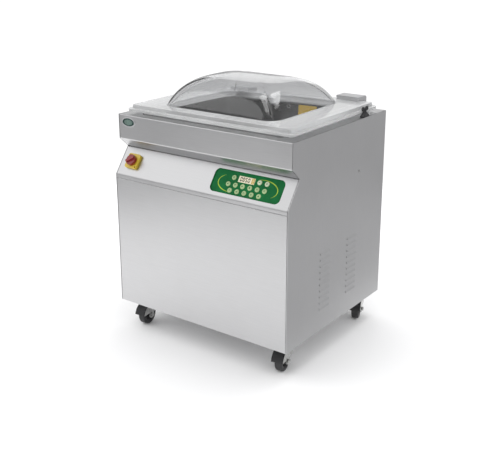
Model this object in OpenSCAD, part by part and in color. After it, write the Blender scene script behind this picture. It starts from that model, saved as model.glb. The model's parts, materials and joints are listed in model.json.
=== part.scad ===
// Floor-standing vacuum packing machine: a stainless cabinet on four swivel casters,
// one pressed chamber under a clear domed lid, and a sloping control console.
// X runs right as seen from the front, Y to the back and Z up.  The origin is on the
// floor, in the middle of the machine's box.

/* [Cabinet] */
// Width over the side panels
body_w = 640; // [600:5:700]
// Depth from the lower front panel to the back panel
body_d = 551; // [545:1:580]
// Height of the deck above the floor
deck_z = 700; // [690:1:740]
// Height of the cabinet's underside, which is the caster height
base_z = 90; // [90:1:100]
// How far the upper fascia stands back from the lower front panel
fascia_back = 22.5; // [20:0.5:25]
// Height of the upper fascia
fascia_h = 76; // [70:1:80]
// Height of the return under the fascia
return_h = 31; // [28:1:34]
// Depth of the return under the fascia
return_d = 34; // [30:1:36]
// Height of the sloping console
console_h = 78; // [76:1:84]
// Thickness of the sheet steel
sheet = 1.5; // [1.2:0.1:2]

/* [Lid and chamber] */
// Width of the dome at its foot
dome_w = 416; // [400:2:440]
// Depth of the dome at its foot
dome_d = 368; // [350:2:376]
// Height of the dome above the lid's flange
dome_h = 88; // [75:1:95]
// Wall thickness of the dome
dome_t = 6; // [5:0.5:8]
// Depth of the chamber below the deck
tank_h = 120; // [100:5:130]

/* [Controls] */
// Width of the keypad opening
keypad_w = 242; // [236:1:246]
// Height of the keypad opening, along the slope
keypad_h = 72; // [70:1:74]
// Distance between neighbouring buttons
button_pitch = 25.2; // [24:0.1:26]
// Radius of a button
button_r = 7.5; // [6.5:0.5:8]

/* [Casters] */
// Radius of a wheel
wheel_r = 32.5; // [30:0.5:33]
// Width of a wheel
wheel_w = 24; // [20:1:25]
// Trail of a wheel behind its swivel
trail = 20; // [15:1:24]
// Swivel angles of the front right, front left, rear right and rear left casters
caster_angles = [10, 5, 20, 60];

/* [Hidden] */
$fn = 64;
running = 0.05;
gap = 0.3;

// Heights and depths of the cabinet's front profile
gland_out = 10;
front_y = -(body_d + gland_out) / 2;
rear_y = front_y + body_d;
fascia_y = front_y + fascia_back;
notch_y = fascia_y + return_d;
fascia_z = deck_z - fascia_h;
notch_z = fascia_z - return_h;
fold_z = notch_z - console_h;
console_run = notch_y - front_y;
console_tilt = atan2(console_h, console_run);
side_gap = 1.5;
tab = 8;
inner_x = body_w / 2 - sheet - side_gap;

// Louvres of the side and back panels
louvre_l = 54;
louvre_pitch = 19.4;
louvre_rows = 10;
louvre_low = 160;
louvre_out = 3;
louvre_h = 7;
louvre_ys = [fascia_y + 178, fascia_y + 335];
side_screw = [fascia_y + 367, 539];

// Lid flange, given from the deck upwards
lid_low = 8.5;
lip_top = 16.5;
lid_top = 28;
lip_w = 12;
lid_half = 303;
lid_front = fascia_y + 17;
lid_rear = fascia_y + 506;
lid_mid = (lid_front + lid_rear) / 2;
lid_d = lid_rear - lid_front;
dome_y = fascia_y + 255;
dome_r = 45;
bore_w = dome_w - dome_t;
bore_d = dome_d - dome_t;
bore_r = dome_r - dome_t / 2;

// Chamber
tank_w = 480;
tank_d = 404;
tank_t = 2;
tank_r = 12;
tank_y = fascia_y + 250;
gasket_w = 10;
gasket_in_w = tank_w + 12;
gasket_in_d = tank_d + 6;
flange_w = gasket_in_w + 2 * gasket_w + 8;
flange_d = gasket_in_d + 2 * gasket_w + 8;
bar_y = tank_y - tank_d / 2 + 14;
bar_len = 440;
bar_w = 22;
bar_top = -8.5;
bar_low = -37;
rod_x = 150;
rod_r = 8;
rod_low = -tank_h - 35;
port_x = 150;
port_y = tank_y + 150;

// Hinge
pin_y = fascia_y + 517;
pin_z = deck_z + 17;
pin_r = 5;
hinge_x = 211;
hinge_half = 40;
knuckle_w = 18;
knuckle_r = 9;
ear_w = 6;

// Keypad, given along the console from its lower fold
keypad_x = 162;
keypad_s = 48.2;
keypad_r = 16;
keypad_deep = 4;
keypad_t = 4;
button_top = 1.6;
button_at = [
    [109, 65.3],
    [197.5, 65.3],
    [222.7, 65.3],
    for (i = [0:5]) [96.5 + i * button_pitch, 43.6],
    for (i = [0:4]) [109 + i * button_pitch, 25.5]
];
window_x = 153;
window_s = 64.5;
window_w = 56;
window_h = 19;

// Main switch on the console
switch_x = -268;
switch_s = 48;
switch_w = 48;
switch_t = 9;
knob_r = 17;
knob_disc = 11;
knob_bar = 6;
knob_angle = 35;
knob_shaft = 4;
neck_r = 11;

// Casters
caster_x = 266;
caster_front_y = fascia_y + 54;
caster_rear_y = rear_y - 38;
caster_at = [
    [caster_x, caster_front_y],
    [-caster_x, caster_front_y],
    [caster_x, caster_rear_y],
    [-caster_x, caster_rear_y]
];
axle_r = 4;
kingpin_r = 6;

// Turn clamp beside the lid
clamp_x = 311.5;
clamp_y = fascia_y + 405;
clamp_h = 15;

steel = [0.74, 0.74, 0.75];
dark_steel = [0.45, 0.45, 0.46];
black = [0.06, 0.06, 0.07];
clear = [0.85, 0.87, 0.88, 0.4];

BUTTONS = [for (i = [1:len(button_at)]) str("button_", i)];
CORNERS = ["front_right", "front_left", "rear_right", "rear_left"];
FORKS = [for (c = CORNERS) str("caster_fork_", c)];
WHEELS = [for (c = CORNERS) str("caster_wheel_", c)];

// ---------- shapes that repeat ----------

// A rectangle with round corners, centred
module round_rect(w, d, r) {
    square([w - 2 * r, d], center = true);
    square([w, d - 2 * r], center = true);
    for (sx = [-1, 1], sy = [-1, 1])
        translate([sx * (w / 2 - r), sy * (d / 2 - r)]) circle(r);
}

// A plate with round corners, from z0 to z1 about (0, y)
module round_plate(w, d, r, z0, z1, y = 0) {
    translate([0, y, z0]) linear_extrude(z1 - z0) round_rect(w, d, r);
}

// A box between two corners
module box_between(a, b) {
    translate(a) cube(b - a);
}

// An outline in Y and Z, extruded along X from x0
module along_x(x0, length) {
    translate([x0, 0, 0]) rotate([90, 0, 90]) linear_extrude(length) children();
}

// A cylinder along X, starting at p
module rod_x(p, r, length) {
    translate(p) rotate([0, 90, 0]) cylinder(r = r, h = length);
}

// Places its children on the console: x across, s up the slope, n outwards
module on_console(x, s, n = 0) {
    translate([0, front_y, fold_z]) rotate([console_tilt, 0, 0]) translate([x, s, n]) children();
}

// ---------- cabinet ----------

module base_tray() color(steel) {
    wall = 2;
    lip = 30;
    w = body_w - 2 * sheet - 2 * gap;
    y0 = front_y + sheet + gap;
    y1 = rear_y - sheet - gap;
    difference() {
        box_between([-w / 2, y0, base_z], [w / 2, y1, base_z + lip]);
        box_between([-w / 2 + wall, y0 + wall, base_z + wall], [w / 2 - wall, y1 - wall, base_z + lip + 1]);
        for (x = [-90:30:90])
            box_between([x - 5, -60, base_z - 1], [x + 5, 60, base_z + wall + 1]);
    }
}

module side_outline() {
    polygon([
        [fascia_y, deck_z], [fascia_y, fascia_z], [notch_y, notch_z], [front_y, fold_z],
        [front_y, base_z], [rear_y, base_z], [rear_y, deck_z]
    ]);
}

// One pressed louvre: a sloping hood over a slot, standing out along +X
module louvre_hood() {
    translate([0, louvre_l / 2, 0]) rotate([90, 0, 0]) linear_extrude(louvre_l)
        polygon([[0, 0], [louvre_out, 0], [0, louvre_h]]);
}

module louvre_hollow() {
    wall = 1;
    translate([0, louvre_l / 2 - wall, 0]) rotate([90, 0, 0]) linear_extrude(louvre_l - 2 * wall)
        polygon([
            [-sheet - 1, -0.5], [louvre_out - wall, -0.5], [louvre_out - wall, 0.6],
            [0, louvre_h - 2.4], [-sheet - 1, louvre_h - 2.4]
        ]);
}

module side_panel() {
    flange = 14;
    difference() {
        union() {
            along_x(body_w / 2 - sheet, sheet) side_outline();
            box_between(
                [body_w / 2 - sheet - flange, rear_y - 2 * sheet - gap, base_z + 40],
                [body_w / 2 - sheet / 2, rear_y - sheet - gap, deck_z - 20]
            );
            for (y = louvre_ys, i = [0:louvre_rows - 1])
                translate([body_w / 2, y, louvre_low + i * louvre_pitch]) louvre_hood();
        }
        for (y = louvre_ys, i = [0:louvre_rows - 1])
            translate([body_w / 2, y, louvre_low + i * louvre_pitch]) louvre_hollow();
        rod_x([body_w / 2 - sheet - 1, side_screw[0], side_screw[1]], 2.6, sheet + 2);
        back_screw_holes(1);
    }
}

module side_panel_right() color(steel) side_panel();

module side_panel_left() color(steel) mirror([1, 0, 0]) side_panel();

// Heights of the back panel's screws on each side
back_screws = [for (i = [0:3]) base_z + 70 + i * 160];
back_screw_x = body_w / 2 - sheet - 8;

module back_screw_holes(side) {
    for (z = back_screws)
        translate([side * back_screw_x, rear_y + 1, z]) rotate([90, 0, 0])
            cylinder(r = 2.2, h = 3 * sheet + 2);
}

module back_panel() color(steel) {
    difference() {
        box_between(
            [-body_w / 2 + sheet + gap, rear_y - sheet, base_z],
            [body_w / 2 - sheet - gap, rear_y, deck_z - sheet - gap]
        );
        back_screw_holes(1);
        back_screw_holes(-1);
        for (x = [-120, 0, 120], i = [0:7])
            box_between([x - 40, rear_y - sheet - 1, 250 + i * 16], [x + 40, rear_y + 1, 254 + i * 16]);
        translate([220, rear_y + 1, 180]) rotate([90, 0, 0]) cylinder(r = 10.05, h = sheet + 2);
    }
}

module panel_screws() color(dark_steel) {
    for (side = [-1, 1], z = back_screws)
        translate([side * back_screw_x, rear_y, z]) rotate([90, 0, 0]) {
            translate([0, 0, -2]) cylinder(r = 4, h = 2);
            cylinder(r = 2, h = 9);
        }
    for (side = [-1, 1]) {
        rod_x([side > 0 ? body_w / 2 - 9 : -body_w / 2, side_screw[0], side_screw[1]], 2.5, 9);
        rod_x([side > 0 ? body_w / 2 : -body_w / 2 - 2, side_screw[0], side_screw[1]], 4.5, 2);
    }
}

// The deck, its fascia and the return under it are one folded sheet
module top_deck() color(steel) {
    rib_y = rear_y - sheet - 2 * gap - 3;
    rib_low = deck_z - 16;
    difference() {
        along_x(-inner_x, 2 * inner_x) polygon([
            [fascia_y, deck_z], [fascia_y, fascia_z], [notch_y, notch_z],
            [notch_y + tab, notch_z], [notch_y + tab, notch_z + sheet],
            [notch_y + sheet / 2, notch_z + sheet],
            [fascia_y + sheet, fascia_z + 1], [fascia_y + sheet, deck_z - sheet],
            [rib_y - sheet, deck_z - sheet], [rib_y - sheet, rib_low],
            [rib_y, rib_low], [rib_y, deck_z - sheet],
            [rear_y, deck_z - sheet], [rear_y, deck_z]
        ]);
        round_plate(
            tank_w + 2 * tank_t + 2 * gap, tank_d + 2 * tank_t + 2 * gap, tank_r + tank_t + gap,
            deck_z - 30, deck_z + 5, tank_y
        );
    }
}

module console_panel() color(steel) {
    hem_low = fold_z - 12;
    top = notch_z - gap;
    inner_fold = sheet * tan((90 - console_tilt) / 2);
    inner_notch = sheet * tan(console_tilt / 2);
    difference() {
        along_x(-inner_x, 2 * inner_x) polygon([
            [notch_y, top], [front_y, fold_z], [front_y, hem_low],
            [front_y + sheet, hem_low], [front_y + sheet, fold_z - inner_fold],
            [notch_y + inner_notch, top - sheet], [notch_y + tab, top - sheet], [notch_y + tab, top]
        ]);
        on_console(keypad_x, keypad_s, -10) linear_extrude(20) round_rect(keypad_w, keypad_h, keypad_r);
        on_console(switch_x, switch_s, -10) cylinder(r = neck_r + running, h = 20);
    }
}

module lower_front_panel() color(steel) {
    top = fold_z - 13;
    hem = 10;
    box_between([-inner_x, front_y, base_z], [inner_x, front_y + sheet, top]);
    for (x = [-inner_x, inner_x - sheet])
        box_between([x, front_y, base_z + 34], [x + sheet, front_y + hem, top]);
    box_between([-inner_x, front_y, top - sheet], [inner_x, front_y + hem, top]);
}

// ---------- chamber ----------

module chamber_tank() color(dark_steel) {
    difference() {
        union() {
            round_plate(
                tank_w + 2 * tank_t, tank_d + 2 * tank_t, tank_r + tank_t,
                deck_z - tank_h - tank_t, deck_z + 1, tank_y
            );
            round_plate(flange_w, flange_d, 20, deck_z, deck_z + sheet, tank_y);
        }
        round_plate(tank_w, tank_d, tank_r, deck_z - tank_h, deck_z + 5, tank_y);
        for (side = [-1, 1])
            translate([side * rod_x, bar_y, deck_z - tank_h - 5]) cylinder(r = rod_r + running, h = 10);
        translate([port_x, port_y, deck_z - tank_h - 5]) cylinder(r = 9, h = 10);
    }
}

module suction_port() color(black) {
    translate([port_x, port_y, deck_z - tank_h]) difference() {
        union() {
            cylinder(r = 26, h = 4);
            cylinder(r = 18, h = 12);
        }
        translate([0, 0, -1]) cylinder(r = 9, h = 9);
        for (a = [0:45:315])
            rotate(a) translate([12, 0, 5]) cylinder(r = 2.5, h = 10);
    }
}

module seal_cylinders() color(dark_steel) {
    for (side = [-1, 1])
        translate([side * rod_x, bar_y, deck_z - tank_h - tank_t - 50]) difference() {
            union() {
                cylinder(r = 20, h = 42);
                translate([0, 0, 42]) cylinder(r = 26, h = 8);
            }
            translate([0, 0, 8]) cylinder(r = rod_r + running, h = 50);
        }
}

module seal_rods() color("silver") {
    for (side = [-1, 1])
        translate([side * rod_x, bar_y, deck_z + rod_low]) cylinder(r = rod_r, h = bar_low - rod_low);
}

module seal_bar() color("silver") {
    box_between(
        [-bar_len / 2, bar_y - bar_w / 2, deck_z + bar_low],
        [bar_len / 2, bar_y + bar_w / 2, deck_z + bar_top]
    );
    for (side = [-1, 1])
        box_between(
            [side * (bar_len / 2 + 4) - 4, bar_y - 8, deck_z + bar_low + 6],
            [side * (bar_len / 2 + 4) + 4, bar_y + 8, deck_z + bar_top - 2]
        );
}

// The two heating wires under their non-stick tape
module seal_strip() color([0.35, 0.22, 0.12]) {
    box_between(
        [-bar_len / 2 + 4, bar_y - 8, deck_z + bar_top],
        [bar_len / 2 - 4, bar_y + 8, deck_z + bar_top + 0.5]
    );
    for (dy = [-3.5, 3.5])
        box_between(
            [-bar_len / 2 + 4, bar_y + dy - 1.5, deck_z + bar_top + 0.4],
            [bar_len / 2 - 4, bar_y + dy + 1.5, deck_z + bar_top + 1]
        );
}

// ---------- lid ----------

// Height of the blown dome over its foot: u and v run from -1 at one edge to 1 at the other
swell_u = 5.6;
swell_v = 3.1;
edge_power = 0.64;
function lift(u, v) = pow((1 - pow(abs(u), swell_u)) * (1 - pow(abs(v), swell_v)), edge_power);

cells_u = 22;
cells_v = 18;
function spread(i, n) = sin(90 * (2 * i / n - 1));

// Moves a point of the unit square into a rectangle with round corners, of half sizes a and b
function eased(u, v, a, b, r) =
    let (
        m = max(abs(u), abs(v), 0.001),
        x = a * u / m,
        y = b * v / m,
        over = [abs(x) - (a - r), abs(y) - (b - r)],
        reach = r / max(norm(over), 0.001)
    )
        over[0] > 0 && over[1] > 0
            ? m * [sign(x) * (a - r + over[0] * reach), sign(y) * (b - r + over[1] * reach)]
            : m * [x, y];

function skin(a, b, r, h) = [
    for (j = [0:cells_v], i = [0:cells_u])
        let (u = spread(i, cells_u), v = spread(j, cells_v), p = eased(u, v, a, b, r))
            [p[0], p[1], h * lift(u, v)]
];

row_len = cells_u + 1;
layer = row_len * (cells_v + 1);
rim = concat(
    [for (i = [0:cells_u - 1]) i],
    [for (j = [0:cells_v - 1]) j * row_len + cells_u],
    [for (i = [cells_u:-1:1]) cells_v * row_len + i],
    [for (j = [cells_v:-1:1]) j * row_len]
);

// A closed shell between the dome's outer and inner skins
module dome_shell() {
    inner = skin(dome_w / 2 - dome_t, dome_d / 2 - dome_t, dome_r - dome_t, dome_h - dome_t);
    points = concat(skin(dome_w / 2, dome_d / 2, dome_r, dome_h), inner);
    top = [
        for (j = [0:cells_v - 1], i = [0:cells_u - 1], half = [0, 1])
            let (p = j * row_len + i, q = p + row_len)
                half == 0 ? [p, q, p + 1] : [p + 1, q, q + 1]
    ];
    under = [for (f = top) [f[0] + layer, f[2] + layer, f[1] + layer]];
    n = len(rim);
    foot = [
        for (k = [0:n - 1], half = [0, 1])
            let (p = rim[k], q = rim[(k + 1) % n])
                half == 0 ? [p, q, p + layer] : [q, q + layer, p + layer]
    ];
    polyhedron(points, concat(top, under, foot));
}

module lid() color(clear) {
    sink = 2;
    difference() {
        union() {
            round_plate(2 * lid_half, lid_d, 18, deck_z + lid_low, deck_z + lip_top, lid_mid);
            round_plate(
                2 * (lid_half - lip_w), lid_d - 2 * lip_w, 8,
                deck_z + lip_top - 1, deck_z + lid_top, lid_mid
            );
        }
        round_plate(bore_w, bore_d, bore_r, deck_z, deck_z + 60, dome_y);
    }
    translate([0, dome_y, deck_z + lid_top - sink]) dome_shell();
}

module lid_gasket() color([0.3, 0.3, 0.31]) {
    w = gasket_in_w;
    d = gasket_in_d;
    difference() {
        round_plate(w + 2 * gasket_w, d + 2 * gasket_w, 16, deck_z + sheet + 0.1, deck_z + lid_low, tank_y);
        round_plate(w, d, 6, deck_z - 1, deck_z + 20, tank_y);
    }
}

// The bar under the lid's flange that the sealing bar presses against
module counter_bar() color("silver") {
    box_between(
        [-bar_len / 2 - 6, bar_y - 10, deck_z + 2.5],
        [bar_len / 2 + 6, bar_y + 10, deck_z + lid_low]
    );
}

module counter_pad() color([0.75, 0.25, 0.15]) {
    box_between(
        [-bar_len / 2, bar_y - 7, deck_z - 1.5],
        [bar_len / 2, bar_y + 7, deck_z + 2.5]
    );
}

// ---------- hinge ----------

module hinge_block(side) {
    x0 = side * hinge_x - hinge_half;
    p = [0, pin_y, pin_z];
    difference() {
        union() {
            translate(p) along_x(x0, 2 * hinge_half) polygon([
                [-43, 11], [-43, 23], [4, 23], [9, 18], [9, 11],
                [-10.8, 11], [-10.8, -0.4], [-22.6, -0.4], [-22.6, 11]
            ]);
            for (x = [x0, x0 + 2 * hinge_half - knuckle_w]) {
                rod_x([x, pin_y, pin_z], knuckle_r, knuckle_w);
                translate(p) box_between([x, -knuckle_r, 0], [x + knuckle_w, knuckle_r, 12]);
            }
        }
        rod_x([x0 - 1, pin_y, pin_z], pin_r + running, 2 * hinge_half + 2);
    }
}

module hinge_blocks() color([0.6, 0.61, 0.62]) {
    hinge_block(1);
    hinge_block(-1);
}

module hinge_brackets() color(dark_steel) {
    for (side = [-1, 1]) {
        x0 = side * hinge_x - 21;
        difference() {
            union() {
                box_between([x0, pin_y - 31, deck_z], [x0 + 42, pin_y + knuckle_r, deck_z + 4]);
                for (x = [x0, x0 + 42 - ear_w]) {
                    rod_x([x, pin_y, pin_z], knuckle_r, ear_w);
                    box_between([x, pin_y - knuckle_r, deck_z], [x + ear_w, pin_y + knuckle_r, pin_z]);
                }
            }
            rod_x([x0 - 1, pin_y, pin_z], pin_r + 0.02, 44);
        }
    }
}

module hinge_pins() color("silver") {
    for (side = [-1, 1]) {
        rod_x([side * hinge_x - hinge_half - 0.5, pin_y, pin_z], pin_r, 2 * hinge_half + 1);
        rod_x([side * hinge_x - hinge_half - 2.5, pin_y, pin_z], pin_r + 2, 2);
        rod_x([side * hinge_x + hinge_half + 0.5, pin_y, pin_z], pin_r + 2, 2);
    }
}

// A coil along X: its wire is swept round a helix
module coil(mean_r, wire_r, turns, length) {
    steps = 14 * turns;
    sides = 6;
    points = [
        for (i = [0:steps], k = [0:sides - 1])
            let (
                a = 360 * turns * i / steps,
                b = 360 * k / sides,
                r = mean_r + wire_r * cos(b)
            ) [length * i / steps + wire_r * sin(b), r * cos(a), r * sin(a)]
    ];
    walls = [
        for (i = [0:steps - 1], k = [0:sides - 1])
            let (n = (k + 1) % sides)
                [i * sides + k, i * sides + n, (i + 1) * sides + n, (i + 1) * sides + k]
    ];
    ends = [
        [for (k = [sides - 1:-1:0]) k],
        [for (k = [0:sides - 1]) steps * sides + k]
    ];
    polyhedron(points, concat(walls, ends));
}

module lid_springs() color(dark_steel) {
    for (side = [-1, 1])
        translate([side * hinge_x - 12, pin_y, pin_z]) coil(7.6, 1.2, 6, 24);
}

// ---------- turn clamp beside the lid ----------

module clamp_foot() color(black) {
    difference() {
        translate([clamp_x, clamp_y, deck_z]) hull() {
            for (dy = [-14, 14])
                translate([0, dy, 0]) cylinder(r = 7.5, h = 3, $fn = 32);
            cylinder(r = 5.5, h = clamp_h, $fn = 32);
        }
        translate([clamp_x, clamp_y, deck_z + 4]) cylinder(r = 3 + running, h = clamp_h);
    }
}

module clamp_wing() color(black) {
    loop_r = 7;
    z = deck_z + clamp_h + gap;
    translate([clamp_x, clamp_y, 0]) {
        translate([0, 0, deck_z + 5]) cylinder(r = 3, h = clamp_h);
        translate([0, 0, z]) cylinder(r = 5, h = 9);
        for (side = [-1, 1])
            translate([-2, side * 11, z + loop_r + 2]) rotate([0, 90, 0]) difference() {
                cylinder(r = loop_r, h = 4);
                translate([0, 0, -1]) cylinder(r = 3.6, h = 6);
            }
    }
}

module lid_sensor() color(black) {
    box_between([-20, pin_y - 31, deck_z], [20, pin_y - 17, deck_z + 7]);
}

// ---------- machinery in the cabinet ----------

pump_x = 150;
pump_y = tank_y + 150;
floor_z = base_z + 2;
pump_top = 330;

module vacuum_pump() color([0.3, 0.32, 0.34]) {
    translate([pump_x, pump_y, 0]) {
        translate([0, -60, 0]) {
            box_between([-75, -110, floor_z + 20], [75, 110, pump_top - 30]);
            for (y = [-90:20:90])
                box_between([-80, y - 2, floor_z + 40], [80, y + 2, pump_top - 40]);
            for (x = [-60, 60], y = [-90, 90])
                translate([x, y, floor_z]) cylinder(r = 12, h = 21);
        }
        translate([0, 0, pump_top - 31]) cylinder(r = 20, h = 31);
    }
}

module pump_motor() color([0.2, 0.3, 0.4]) {
    length = 190;
    end_x = pump_x - 81;
    axis_y = pump_y - 60;
    axis_z = 210;
    rod_x([end_x - length, axis_y, axis_z], 68, length);
    rod_x([end_x - length - 10, axis_y, axis_z], 74, 10);
    for (x = [-170, -40])
        box_between([end_x + x, axis_y - 50, floor_z], [end_x + x + 20, axis_y + 50, 160]);
}

module vacuum_hose() color(black) {
    top = deck_z - tank_h - tank_t - 70;
    translate([port_x, port_y, pump_top]) {
        cylinder(r = 14, h = top - pump_top);
        for (z = [10:12:top - pump_top - 10])
            translate([0, 0, z]) cylinder(r = 16, h = 6);
    }
}

module solenoid_valve() color([0.65, 0.55, 0.3]) {
    low = deck_z - tank_h - tank_t - 70;
    translate([port_x, port_y, low]) {
        translate([-24, -24, 0]) cube([48, 48, 50]);
        translate([0, 0, 49]) cylinder(r = 14, h = 21);
        rod_x([23, 0, 25], 18, 45);
    }
}

module transformer() color([0.5, 0.3, 0.15]) {
    translate([-200, -60, floor_z]) {
        box_between([-50, -40, 0], [50, 40, 20]);
        box_between([-50, -25, 19], [50, 25, 100]);
        box_between([-30, -42, 36], [30, 42, 84]);
    }
}

module cord_gland() color(black) {
    translate([220, rear_y, 180]) rotate([90, 0, 0]) {
        translate([0, 0, -4]) cylinder(r = 14, h = 4);
        translate([0, 0, -gland_out]) cylinder(r = 11, h = 6.5);
        cylinder(r = 10, h = 14);
        translate([0, 0, sheet]) cylinder(r = 14, h = 5);
    }
}

// ---------- controls ----------

keypad_floor = -keypad_deep;

module keypad_panel() color([0.1, 0.42, 0.22]) {
    rim_w = 4;
    rim_top = -sheet - gap;
    underside = keypad_floor - keypad_t;
    difference() {
        on_console(keypad_x, keypad_s, underside) linear_extrude(rim_top - underside)
            round_rect(keypad_w + 2 * rim_w, keypad_h + 2 * rim_w, keypad_r + rim_w);
        on_console(keypad_x, keypad_s, keypad_floor) linear_extrude(keypad_deep)
            round_rect(keypad_w, keypad_h, keypad_r);
        for (p = button_at)
            on_console(p[0], p[1], underside - 1) cylinder(r = button_r + gap, h = keypad_t + 2);
        on_console(window_x, window_s, underside - 1) linear_extrude(keypad_t + 2)
            square([window_w + 0.2, window_h + 0.2], center = true);
    }
}

module button(i) color([0.85, 0.9, 0.75]) {
    under = keypad_floor - keypad_t - 0.2;
    on_console(button_at[i][0], button_at[i][1]) {
        translate([0, 0, under - 1]) cylinder(r = button_r, h = button_top + keypad_t + 1.2);
        translate([0, 0, under - 1.2]) cylinder(r = button_r + 1.5, h = 1.2);
    }
}

module lcd_window() color([0.9, 0.88, 0.75]) {
    on_console(window_x, window_s, keypad_floor - keypad_t) linear_extrude(keypad_t + 0.4)
        square([window_w, window_h], center = true);
}

module control_board() color([0.1, 0.35, 0.2]) {
    board_n = keypad_floor - keypad_t - 5.6;
    on_console(keypad_x, keypad_s, board_n) {
        linear_extrude(1.6) square([keypad_w - 8, keypad_h - 12], center = true);
        for (x = [-1, 1], y = [-1, 1])
            translate([x * (keypad_w / 2 - 10), y * (keypad_h / 2 - 8), 1]) cylinder(r = 3, h = 4.6);
    }
}

module switch_plate() color([0.85, 0.75, 0.3]) {
    on_console(switch_x, switch_s) difference() {
        linear_extrude(switch_t) round_rect(switch_w, switch_w, 8);
        translate([0, 0, -1]) cylinder(r = neck_r + running, h = switch_t + 2);
        for (x = [-1, 1])
            translate([x * 18, -x * 18, 1.5]) cylinder(r = 2.6, h = switch_t);
    }
}

module switch_body() color(black) {
    on_console(switch_x, switch_s) difference() {
        union() {
            translate([0, 0, -30]) cylinder(r = neck_r, h = 30 + switch_t);
            translate([-21, -21, -44]) cube([42, 42, 42]);
        }
        translate([0, 0, -26]) cylinder(r = knob_shaft + running, h = 40);
    }
}

module switch_knob() color([0.55, 0.08, 0.08]) {
    low = switch_t + gap;
    on_console(switch_x, switch_s) rotate(knob_angle) {
        translate([0, 0, -22]) cylinder(r = knob_shaft, h = 24 + low);
        translate([0, 0, low]) cylinder(r = knob_r, h = knob_disc);
        translate([0, 0, low + knob_disc - 1]) linear_extrude(knob_bar + 1) round_rect(31, 8, 3);
    }
}

// ---------- casters ----------

module caster_plates() color("silver") {
    for (p = caster_at)
        translate([p[0], p[1], 0]) difference() {
            union() {
                round_plate(60, 60, 6, base_z - 3, base_z);
                translate([0, 0, base_z - 13]) cylinder(r = 20, h = 11);
            }
            translate([0, 0, base_z - 20]) cylinder(r = kingpin_r + running, h = 18);
        }
}

// Places its children at a caster, with the wheel trailing along -Y
module at_caster(i) {
    translate([caster_at[i][0], caster_at[i][1], 0]) rotate(caster_angles[i]) children();
}

module caster_fork(i) {
    guard_r = wheel_r + 7;
    half = 19;
    wheel_y = -trail;
    crown_top = base_z - 13.5;
    at_caster(i) {
        color(black) difference() {
            union() {
                intersection() {
                    rod_x([-half, wheel_y, wheel_r], guard_r, 2 * half);
                    box_between([-half, wheel_y - 60, wheel_r + 8], [half, wheel_y + 60, crown_top]);
                }
                for (x = [-half, half - 4]) {
                    rod_x([x, wheel_y, wheel_r], 11, 4);
                    box_between([x, wheel_y - 11, wheel_r], [x + 4, wheel_y + 11, wheel_r + 20]);
                }
                translate([0, 0, crown_top - 10]) cylinder(r = half, h = 10);
                translate([0, 0, crown_top - 2]) cylinder(r = kingpin_r, h = 12);
            }
            rod_x([-wheel_w / 2 - 2, wheel_y, wheel_r], wheel_r + 3, wheel_w + 4);
            rod_x([-half - 1, wheel_y, wheel_r], axle_r + running, 2 * half + 2);
        }
        color("silver") {
            rod_x([-half - 2, wheel_y, wheel_r], axle_r, 2 * half + 4);
            for (x = [-half - 5, half + 1])
                translate([x, wheel_y, wheel_r]) rotate([0, 90, 0]) cylinder(r = 7, h = 4, $fn = 6);
        }
    }
}

module caster_wheel(i) color([0.12, 0.12, 0.13]) {
    at_caster(i) difference() {
        union() {
            translate([0, -trail, wheel_r]) rotate([0, 90, 0]) rotate_extrude($fn = 96) {
                tread = 5;
                translate([0, -wheel_w / 2 + tread]) square([wheel_r, wheel_w - 2 * tread]);
                translate([0, -wheel_w / 2]) square([wheel_r - tread, wheel_w]);
                for (y = [-1, 1])
                    translate([wheel_r - tread, y * (wheel_w / 2 - tread)]) circle(tread);
            }
            rod_x([-wheel_w / 2 - 1.5, -trail, wheel_r], 9, wheel_w + 3);
        }
        rod_x([-wheel_w, -trail, wheel_r], axle_r + running, 2 * wheel_w);
    }
}

base_tray();
side_panel_left();
side_panel_right();
back_panel();
top_deck();
console_panel();
lower_front_panel();
chamber_tank();
vacuum_pump();
pump_motor();
vacuum_hose();
solenoid_valve();
transformer();
control_board();
cord_gland();
seal_cylinders();
suction_port();
keypad_panel();
lcd_window();
switch_plate();
switch_body();
hinge_brackets();
hinge_pins();
lid_springs();
clamp_foot();
panel_screws();
lid_sensor();
caster_plates();
seal_bar();
seal_strip();
seal_rods();
lid();
lid_gasket();
counter_bar();
counter_pad();
hinge_blocks();
switch_knob();
clamp_wing();
for (i = [0:len(BUTTONS) - 1])
    button(i);
for (i = [0:3]) {
    caster_fork(i);
    caster_wheel(i);
}
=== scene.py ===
"""Looks of a floor-standing vacuum packing machine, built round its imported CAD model.

Metres throughout.  X runs right as seen from the front, Y to the back and Z up.
"""

import json
import math

import bmesh
import bpy
from mathutils import Matrix, Vector


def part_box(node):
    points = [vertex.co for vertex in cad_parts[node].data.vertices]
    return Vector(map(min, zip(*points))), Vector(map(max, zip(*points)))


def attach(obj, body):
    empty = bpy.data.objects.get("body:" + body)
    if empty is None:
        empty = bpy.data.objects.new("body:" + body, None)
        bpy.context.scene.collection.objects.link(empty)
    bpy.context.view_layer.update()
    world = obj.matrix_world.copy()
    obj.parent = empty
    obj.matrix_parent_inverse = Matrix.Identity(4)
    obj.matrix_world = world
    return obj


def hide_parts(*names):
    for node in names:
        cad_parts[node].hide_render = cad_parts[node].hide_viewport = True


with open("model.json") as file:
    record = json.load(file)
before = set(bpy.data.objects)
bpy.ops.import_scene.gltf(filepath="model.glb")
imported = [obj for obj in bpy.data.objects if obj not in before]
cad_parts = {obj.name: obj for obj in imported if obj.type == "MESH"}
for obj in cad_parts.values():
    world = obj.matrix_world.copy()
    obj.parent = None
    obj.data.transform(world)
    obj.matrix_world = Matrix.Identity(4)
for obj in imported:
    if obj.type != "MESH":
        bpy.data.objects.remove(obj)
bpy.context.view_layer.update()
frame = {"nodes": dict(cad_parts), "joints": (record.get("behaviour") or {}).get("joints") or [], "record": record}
MM = 0.001

# ---------------------------------------------------------------- places, read from the frame

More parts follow.
